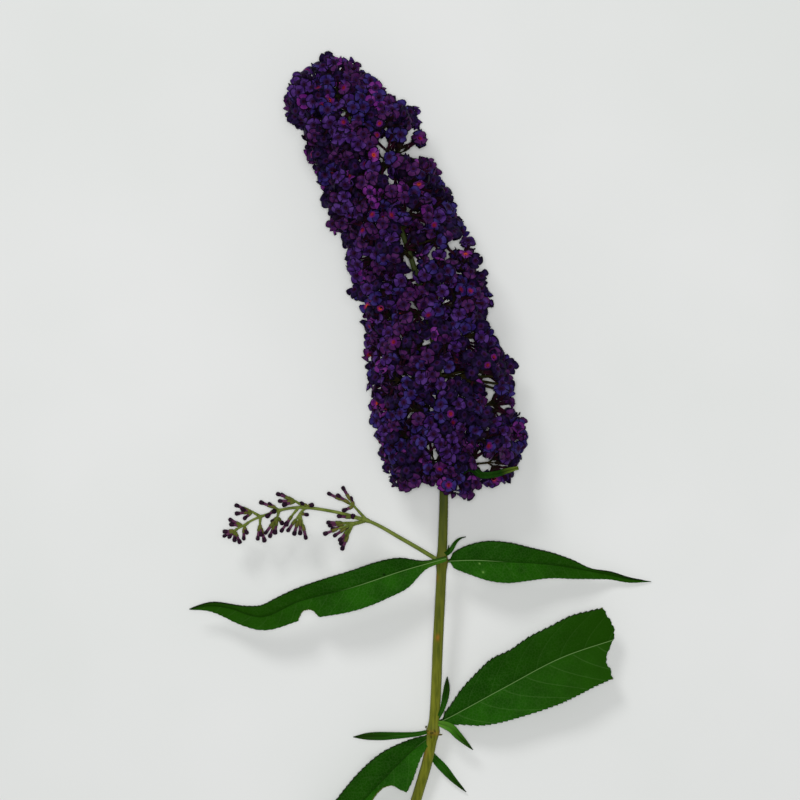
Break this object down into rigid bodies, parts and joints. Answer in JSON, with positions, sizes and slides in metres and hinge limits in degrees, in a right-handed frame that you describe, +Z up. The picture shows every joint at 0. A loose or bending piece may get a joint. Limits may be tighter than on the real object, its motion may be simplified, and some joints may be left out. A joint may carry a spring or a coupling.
{
  "type": "cut butterfly bush spray",
  "caption": "Cut spray of butterfly bush lying flat: a leafy square stem with a dense violet flower spike at its tip and a curved side spike in bud.",
  "frame": {"origin": "on the surface that the spray lies on, under the middle of its bounding box", "axes": "+Y from the cut end to the tip of the flower spike, +X to the right seen from above, +Z up"},
  "size_m": [0.185, 0.3408, 0.0482],
  "materials": {
    "stem": "smooth green stem, faintly downy, olive turning brown at the nodes",
    "leaf": "dull dark green leaf, a little lighter and greyer beneath",
    "petal": "matt violet petals, indigo to magenta from floret to floret",
    "bud": "closed dark purple buds on dull mauve tubes",
    "throat": "orange throat of a floret with a dark magenta ring",
    "flower_tube": "dull red-purple corolla tubes",
    "calyx": "small grey-green calyces and flower stalks"
  },
  "bodies": {
    "root": {"bract_leaf": "leaf", "bud_cluster_1_lower": "bud", "bud_cluster_1_upper": "bud", "bud_cluster_2_lower": "bud", "bud_cluster_2_upper": "bud", "bud_cluster_3_lower": "bud", "bud_cluster_3_upper": "bud", "bud_cluster_4_lower": "bud", "bud_cluster_4_upper": "bud", "bud_cluster_tip": "bud", "flower_cluster_01_left": "petal", "flower_cluster_01_right": "petal", "flower_cluster_02_lower": "petal", "flower_cluster_02_upper": "petal", "flower_cluster_03_left": "petal", "flower_cluster_03_right": "petal", "flower_cluster_04_lower": "petal", "flower_cluster_04_upper": "petal", "flower_cluster_05_left": "petal", "flower_cluster_05_right": "petal", "flower_cluster_06_lower": "petal", "flower_cluster_06_upper": "petal", "flower_cluster_07_left": "petal", "flower_cluster_07_right": "petal", "flower_cluster_08_lower": "petal", "flower_cluster_08_upper": "petal", "flower_cluster_09_left": "petal", "flower_cluster_09_right": "petal", "flower_cluster_10_lower": "petal", "flower_cluster_10_upper": "petal", "flower_cluster_11_left": "petal", "flower_cluster_11_right": "petal", "flower_cluster_12_lower": "petal", "flower_cluster_12_upper": "petal", "flower_cluster_13_left": "petal", "flower_cluster_13_right": "petal", "flower_cluster_tip": "petal", "leaf_lower_left": "leaf", "leaf_lower_right": "leaf", "leaf_upper_left": "leaf", "leaf_upper_right": "leaf", "main_stem": "stem", "shoot_leaf_hanging": "leaf", "shoot_leaf_left": "leaf", "shoot_leaf_rising": "leaf", "shoot_leaf_under": "leaf", "shoot_leaf_upper": "leaf", "side_stalk": "stem"}
  },
  "joints": []
}
